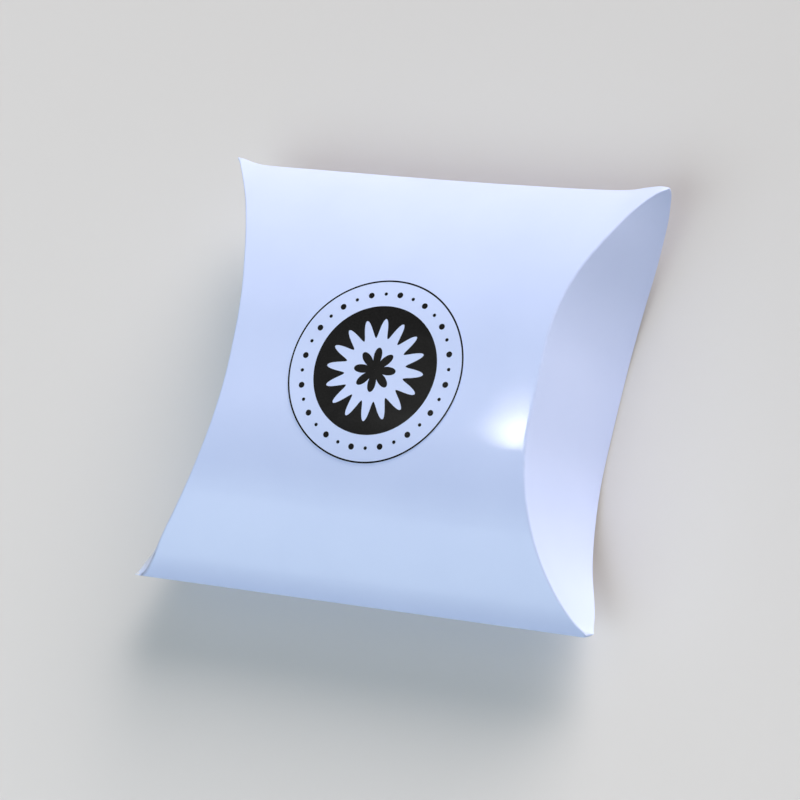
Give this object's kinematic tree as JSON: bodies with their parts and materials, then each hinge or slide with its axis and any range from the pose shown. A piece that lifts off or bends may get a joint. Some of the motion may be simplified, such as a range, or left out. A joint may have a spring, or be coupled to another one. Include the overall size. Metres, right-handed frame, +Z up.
{
  "type": "pillow box",
  "caption": "White gloss card pillow box with bowed panels, curved-fold ends closed by outer and inner flaps that open, a glued side seam and a round label on the front.",
  "frame": {"origin": "on the surface the box lies on, under the middle of the box", "axes": "+X along the box's length from one curved end to the other, +Y across from side fold to side fold, towards the glued seam, +Z up through the thickness, from the back panel to the labelled front panel"},
  "size_m": [0.0986, 0.09, 0.0247],
  "materials": {
    "gloss_card": "smooth gloss coat over white card, slightly blue",
    "glue": "dried clear-to-cream adhesive",
    "label_film": "gloss film"
  },
  "bodies": {
    "box": {"front_panel": "gloss_card", "back_panel": "gloss_card", "glue_flap": "gloss_card", "glue_line": "glue", "round_label": "label_film"},
    "right_outer": {"right_outer_flap": "gloss_card"},
    "right_inner": {"right_inner_flap": "gloss_card"},
    "left_outer": {"left_outer_flap": "gloss_card"},
    "left_inner": {"left_inner_flap": "gloss_card"}
  },
  "joints": [
    {"name": "right_outer_fold", "type": "hinge", "parent": "box", "child": "right_outer", "pos_m": [0.0343, 0, 0.0245], "axis": [0, -1, 0], "range_deg": [0, 73]},
    {"name": "right_inner_fold", "type": "hinge", "parent": "box", "child": "right_inner", "pos_m": [0.0343, 0, 0], "axis": [0, 1, 0], "range_deg": [0, 73]},
    {"name": "left_outer_fold", "type": "hinge", "parent": "box", "child": "left_outer", "pos_m": [-0.0343, 0, 0.0245], "axis": [0, 1, 0], "range_deg": [0, 73]},
    {"name": "left_inner_fold", "type": "hinge", "parent": "box", "child": "left_inner", "pos_m": [-0.0343, 0, 0], "axis": [0, -1, 0], "range_deg": [0, 73]}
  ],
  "couplings": [
    {"joint": "right_inner_fold", "follows": "right_outer_fold", "ratio": 1},
    {"joint": "left_inner_fold", "follows": "left_outer_fold", "ratio": 1}
  ]
}
